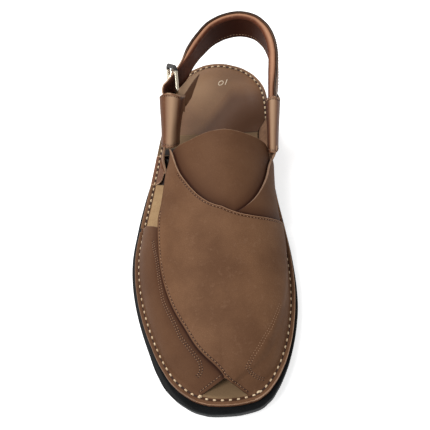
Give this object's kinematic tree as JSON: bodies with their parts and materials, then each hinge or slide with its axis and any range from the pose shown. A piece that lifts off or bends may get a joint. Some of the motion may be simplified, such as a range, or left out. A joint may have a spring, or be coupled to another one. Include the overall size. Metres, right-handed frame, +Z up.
{
  "type": "peshawari chappal",
  "caption": "Right leather sandal with a closed front of two crossed panels, an open toe notch, side loops, a buckled heel strap and a thick flat rubber sole.",
  "frame": {"origin": "on the ground under the middle of the bounding box", "axes": "+Z up, -Y towards the toe, +Y towards the heel, +X towards the medial (big toe) side of this right shoe"},
  "size_m": [0.1187, 0.3005, 0.0988],
  "materials": {
    "sole_rubber": "matte, near black",
    "welt_leather": "matte, dark brown edge",
    "insole_leather": "smooth brown heel sock over a tan suede board",
    "upper_leather": "matte waxed brown with fine grain",
    "loop_leather": "smooth brown with a soft shine",
    "strap_leather": "smooth light tan rolled edge, dark brown inside",
    "thread": "waxed cream thread",
    "buckle_metal": "polished pale gold"
  },
  "bodies": {
    "root": {"outsole": "sole_rubber", "midsole": "welt_leather", "insole": "insole_leather", "upper": "upper_leather", "tongue": "upper_leather", "side_loop_lateral": "loop_leather", "side_loop_medial": "loop_leather", "heel_strap": "strap_leather", "strap_tail": "upper_leather", "buckle_frame": "buckle_metal", "buckle_prong": "buckle_metal"}
  },
  "joints": []
}
